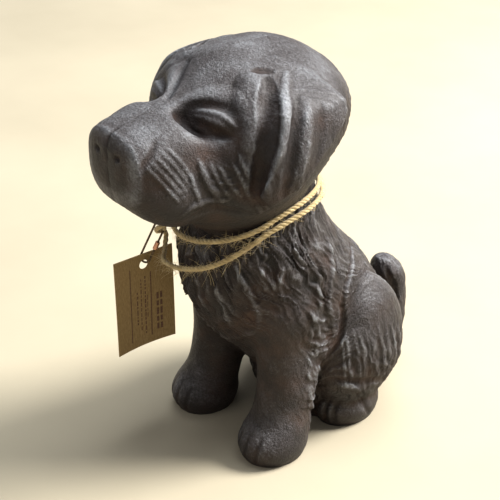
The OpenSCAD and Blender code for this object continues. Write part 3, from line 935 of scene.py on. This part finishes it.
lookup = tree_of(moved)
fur_coords = np.stack([across, along, np.clip(depth, 0, 1.2)], 1)
castings = []
for name, ob in halves.items():
    me = ob.data
    co = np.empty(len(me.vertices) * 3)
    me.vertices.foreach_get("co", co)
    co = co.reshape(-1, 3) / MM
    found = [lookup.find(q) for q in co]
    index = np.array([f[1] for f in found])
    far = np.array([f[2] for f in found])
    inside = far > 1.0
    # the wear-and-sheen value goes to the material, with painted sheen on upward faces
    set_values(me, "wear_and_sheen", np.where(inside, 0.22, wear_and_sheen[index]))
    set_values(me, "rust", np.where(inside, 0.75, rust[index]))
    set_values(me, "fur", np.where(inside[:, None], np.array([0.0, 0.0, 0.0]), fur_coords[index]))
    me.polygons.foreach_set("use_smooth", np.ones(len(me.polygons), bool))
    me.set_sharp_from_angle(angle=math.radians(62))
    ob.name = name + "_puppy_half"
    castings.append(ob)
    print(ob.name, len(me.polygons), "faces")
left_half, right_half = castings


# ---- hang tag
TAG_THICK, TAG_HOLE, TAG_HOLE_R = 0.4, (-37.8, 67.9), 1.9


def make_tag():
    """A kraft card, slightly bowed, with its hole; the printed rules lie on its face."""
    lo, hi = [Vector(v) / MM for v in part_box("hang_tag")]
    mid_x, thick = (lo.x + hi.x) / 2, TAG_THICK
    (hole_y, hole_z), hole_r = TAG_HOLE, TAG_HOLE_R

    def bow(y, z):
        u, v = (y - lo.y) / (hi.y - lo.y), (hi.z - z) / (hi.z - lo.z)
        return 0.9 * (u - 0.5) ** 2 * 4 * v - 0.5 * v * v - 0.35 * np.sin(u * 3.1) * v

    # a grid of quads with the hole's rim worked in: rings from the hole outwards to the card's edge
    n = 64
    rings = []
    corners = [math.atan2(z - hole_z, y - hole_y) % (2 * np.pi) for y in (lo.y, hi.y) for z in (lo.z, hi.z)]
    ang = np.sort(np.r_[np.linspace(0, 2 * np.pi, n - 4, endpoint=False), corners])
    rim = np.stack([hole_y + hole_r * np.cos(ang), hole_z + hole_r * np.sin(ang)], 1)
    edge = []
    for a in ang:
        dy, dz = math.cos(a), math.sin(a)
        t = min([q for q in ((lo.y - hole_y) / dy if dy < -1e-9 else 1e9, (hi.y - hole_y) / dy if dy > 1e-9 else 1e9,
                             (lo.z - hole_z) / dz if dz < -1e-9 else 1e9,
                             (hi.z - hole_z) / dz if dz > 1e-9 else 1e9)])
        edge.append((hole_y + dy * t, hole_z + dz * t))
    edge = np.array(edge)
    for u in (0, 0.04, 0.12, 0.22, 0.34, 0.46, 0.58, 0.7, 0.8, 0.9, 1.0):
        rings.append(rim + (edge - rim) * u)
    v, f = [], []
    for s in (1, -1):
        for ring in rings:
            v += [(mid_x + s * thick / 2 + bow(y, z), y, z) for y, z in ring]
    m = len(rings)
    for s in (0, 1):
        base = s * m * n
        for i in range(m - 1):
            for k in range(n):
                j = (k + 1) % n
                q = [base + i * n + k, base + (i + 1) * n + k, base + (i + 1) * n + j, base + i * n + j]
                f.append(q if s == 0 else q[::-1])
    for i, flip in ((0, True), (m - 1, False)):
        for k in range(n):
            j = (k + 1) % n
            q = [i * n + k, m * n + i * n + k, m * n + i * n + j, i * n + j]
            f.append(q[::-1] if flip else q)
    card = mesh_object("hang_tag_card", v, f)
    card.data.set_sharp_from_angle(angle=math.radians(40))

    rng = np.random.default_rng(SEED + 5)
    marks = []
    width = hi.y - lo.y
    marks.append((lo.y + 0.25 * width, lo.y + 0.25 * width + 0.42, lo.z + 3.0, hi.z - 5.0))
    marks.append((lo.y + 0.60 * width, lo.y + 0.60 * width + 0.5, lo.z + 3.2, hi.z - 8.5))
    for row, (at, tall, lo_z, hi_z) in enumerate(((0.36, 0.55, 10, 24), (0.43, 0.4, 7, 30), (0.50, 0.55, 5, 31),
                                                  (0.54, 0.35, 12, 22))):
        z = lo.z + lo_z
        while z < lo.z + hi_z:
            run = rng.uniform(0.7, 2.4)
            marks.append((lo.y + at * width, lo.y + at * width + tall, z, z + run))
            z += run + rng.uniform(0.4, 0.8)
    z = lo.z + 5.0
    for run in (2.6, 2.2, 3.0, 2.2, 2.8):
        for part in (0.0, 0.55):
            marks.append((lo.y + (0.70 + 0.11 * part) * width, lo.y + (0.70 + 0.11 * part) * width + 1.0, z, z + run))
        z += run + 0.9
    v, f = [], []
    for y0, y1, z0, z1 in marks:
        steps = max(2, int((z1 - z0) / 1.2) + 1)
        zz = np.linspace(z0, z1, steps)
        b = len(v)
        for s in (0.5 * thick + 0.035, 0.5 * thick - 0.03):
            for q in zz:
                v += [(mid_x + s + bow(y0, q), y0, q), (mid_x + s + bow(y1, q), y1, q)]
        for k in range(steps - 1):
            o = b + 2 * k
            l = 2 * steps
            f += [[o, o + 1, o + 3, o + 2], [o + l + 2, o + l + 3, o + l + 1, o + l],
                  [o + l, o, o + 2, o + l + 2], [o + 1, o + l + 1, o + l + 3, o + 3]]
        e = b + 2 * (steps - 1)
        f += [[b + 1, b, b + 2 * steps, b + 2 * steps + 1], [e, e + 1, e + 2 * steps + 1, e + 2 * steps]]
    ink = mesh_object("hang_tag_print", v, f, smooth=False)
    return card, ink


card, ink = make_tag()


# ---- materials
def iron_material():
    m = Nodes("antique_cast_iron")
    wear_and_sheen_at, rust_at, fur = m.attr("wear_and_sheen"), m.attr("rust"), m.attr("fur", True)
    obj = m.coords()
    grain = m.noise(obj, 1.3, 5, 0.66)
    speck = m.noise(obj, 3.0, 4, 0.65)
    cloud = m.noise(obj, 0.11, 4, 0.55)
    hair = m.noise(m.coords((2.3, 0.22, 1.0), fur), 1.0, 4, 0.6)
    lift = m.math("ADD", wear_and_sheen_at, m.math("MULTIPLY", m.math("SUBTRACT", grain, 0.5), 0.55))
    lift = m.math("ADD", lift, m.math("MULTIPLY", m.math("SUBTRACT", hair, 0.5), 0.28))
    # the ramp's pale bluish-grey top is rubbed metal together with a painted sheen of the light from above
    base = m.ramp(lift, (0.14, (0.0080, 0.0050, 0.0042)), (0.38, (0.023, 0.0165, 0.0150)),
                  (0.54, (0.078, 0.070, 0.071)), (0.72, (0.20, 0.202, 0.210)), (0.98, (0.36, 0.37, 0.39)))
    tint = m.ramp(speck, (0.35, (0.036, 0.015, 0.009)), (0.65, (0.100, 0.046, 0.024)))
    amount = m.math("MULTIPLY", rust_at, m.ramp(cloud, (0.36, 0.2), (0.62, 1.0)))
    amount = m.math("MULTIPLY", amount, m.ramp(lift, (0.25, 1.0), (0.75, 0.2)))
    colour = m.mix(m.math("MULTIPLY", amount, 0.8, clamp=True), base, tint)
    rough = m.math("ADD", m.math("MULTIPLY", speck, 0.22), m.ramp(wear_and_sheen_at, (0.2, 0.50), (0.9, 0.36)))
    m.set(Base_Color=colour, Roughness=rough, Metallic=0.35, IOR=1.5, Coat_Weight=0.18, Coat_Roughness=0.45)
    m.set(Normal=m.bump(speck, 0.7, 0.0004, m.bump(grain, 1.0, 0.0011, m.bump(hair, 0.5, 0.0005))))
    return m.mat


JUTE_TONES = ((0.22, 0.145, 0.055), (0.52, 0.39, 0.18), (0.78, 0.66, 0.38))


def jute_material(name, light=1.0):
    m = Nodes(name)
    strand = m.attr("strand", True)
    fibre = m.noise(m.coords((2.2, 0.5, 1.0), strand), 2.0, 5, 0.7)
    patch = m.noise(m.coords((300, 300, 300)), 1.0, 3, 0.5)
    mixed = m.math("ADD", m.math("MULTIPLY", fibre, 0.65), m.math("MULTIPLY", patch, 0.35))
    dark, mid, pale = [tuple(c * light for c in tone) for tone in JUTE_TONES]
    colour = m.ramp(mixed, (0.28, dark), (0.5, mid), (0.72, pale))
    m.set(Base_Color=colour, Roughness=0.82, Sheen_Weight=0.3, Sheen_Roughness=0.5)
    m.set(Normal=m.bump(fibre, 0.7, 0.00018))
    return m.mat


def metal_material(name, dark, mid, light, rough):
    m = Nodes(name)
    obj = m.coords()
    cloud, fine = m.noise(obj, 0.9, 4, 0.6), m.noise(obj, 5.0, 3, 0.5)
    colour = m.ramp(cloud, (0.3, dark), (0.5, mid), (0.72, light))
    m.set(Base_Color=colour, Metallic=0.9, Roughness=m.math("ADD", m.math("MULTIPLY", fine, 0.3), rough))
    m.set(Normal=m.bump(fine, 0.3, 0.00006))
    return m.mat


def card_material():
    m = Nodes("kraft_card")
    obj = m.coords()
    pulp = m.noise(m.coords((1000, 2600, 700)), 0.9, 5, 0.65)
    cloud, fleck = m.noise(obj, 0.12, 3, 0.5), m.noise(obj, 3.2, 2, 0.5)
    colour = m.ramp(pulp, (0.3, (0.20, 0.125, 0.048)), (0.7, (0.36, 0.245, 0.105)))
    colour = m.mix(m.ramp(cloud, (0.35, 0.0), (0.7, 0.45)), colour, (0.29, 0.20, 0.085))
    colour = m.mix(m.ramp(fleck, (0.66, 0.0), (0.74, 0.5)), colour, (0.14, 0.085, 0.045))
    m.set(Base_Color=colour, Roughness=0.86)
    m.set(Normal=m.bump(pulp, 0.25, 0.00008))
    return m.mat


def ink_material():
    m = Nodes("brown_ink")
    worn_ink = m.noise(m.coords(), 2.4, 4, 0.6)
    m.set(Base_Color=m.ramp(worn_ink, (0.35, (0.075, 0.035, 0.022)), (0.7, (0.16, 0.085, 0.05))), Roughness=0.75)
    return m.mat


def floor_material():
    m = Nodes("pale_floor")
    cloud = m.noise(m.coords((9, 9, 9)), 1.0, 4, 0.5)
    grain = m.noise(m.coords((900, 900, 900)), 1.0, 2, 0.5)
    m.set(Base_Color=m.ramp(cloud, (0.3, (0.375, 0.325, 0.23)), (0.7, (0.425, 0.37, 0.265))), Roughness=0.9)
    m.set(Normal=m.bump(grain, 0.05, 0.0002))
    return m.mat


iron = iron_material()
jute = jute_material("twisted_jute")
loose = jute_material("jute_fibre", 1.15)
steel = metal_material("aged_screw_steel", (0.10, 0.092, 0.085), (0.24, 0.23, 0.22), (0.42, 0.41, 0.40), 0.32)
bronze = metal_material("antique_bronze_wire", (0.035, 0.024, 0.015), (0.085, 0.058, 0.034), (0.20, 0.14, 0.085),
                        0.28)
copper = metal_material("copper_clasp", (0.33, 0.15, 0.085), (0.62, 0.31, 0.19), (0.80, 0.47, 0.32), 0.22)

for ob in castings:
    paint(ob, iron)
paint(twine, jute)
paint(knot, jute)
paint(fibres, loose)
paint(card, card_material())
paint(ink, ink_material())
paint(nodes["assembly_screw"], steel)
paint(nodes["tag_link"], bronze)
paint(nodes["tag_link_clasp"], copper)

# ---- what moves with what
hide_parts("left_casting")
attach(left_half, "left_half")
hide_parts("right_casting")
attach(right_half, "right_half")
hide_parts("twine_left", "twine_right")
seam_start, seam_end = (0.008, -0.01, 0.09), (-0.008, -0.01, 0.09)
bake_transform(twine)
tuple(seam_start)
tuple(seam_end)
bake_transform(fibres)
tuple(seam_start)
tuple(seam_end)
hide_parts("twine_knot")
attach(knot, "right_half")
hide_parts("hang_tag")
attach(card, "tag")
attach(ink, "tag")


# ---- floor, light
FLOOR_SIZE = 6000
WORLD_LIGHT = 0.34
# name, place, aim, size, power, colour
LAMPS = (("key", (0.40, 0.74, 0.80), (0, 0, 0.08), 0.46, 38.0, (1.0, 0.99, 0.97)),
         ("sky", (0.0, 0.25, 1.50), (0, 0, 0.06), 1.1, 21.0, (0.90, 0.95, 1.0)),
         ("fill", (-0.15, -0.85, 0.40), (0, 0, 0.07), 0.9, 1.0, (1.0, 0.97, 0.93)))


def lamp(name, at, aim, size, power, colour):
    data = bpy.data.lights.new(name, "AREA")
    data.shape, data.size, data.energy, data.color = "DISK", size, power, colour
    ob = bpy.data.objects.new(name, data)
    bpy.context.collection.objects.link(ob)
    ob.location = at
    ob.rotation_mode = "QUATERNION"
    ob.rotation_quaternion = (Vector(aim) - Vector(at)).to_track_quat("-Z", "Y")


reach = FLOOR_SIZE / 2
corners = [(-reach, -reach, 0), (reach, -reach, 0), (reach, reach, 0), (-reach, reach, 0)]
floor = mesh_object("floor", corners, [[0, 1, 2, 3]], smooth=False)
paint(floor, floor_material())
floor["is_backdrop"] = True
for row in LAMPS:
    lamp(*row)
world = bpy.data.worlds.new("studio")
world.use_nodes = True
world.node_tree.nodes["Background"].inputs[0].default_value = (0.93, 0.95, 1.0, 1)
world.node_tree.nodes["Background"].inputs[1].default_value = WORLD_LIGHT
bpy.context.scene.world = world
bpy.context.scene.view_settings.view_transform = "Standard"

lo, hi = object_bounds()
{"cad": CAD_BOX, "visual": [list(lo), list(hi)]}
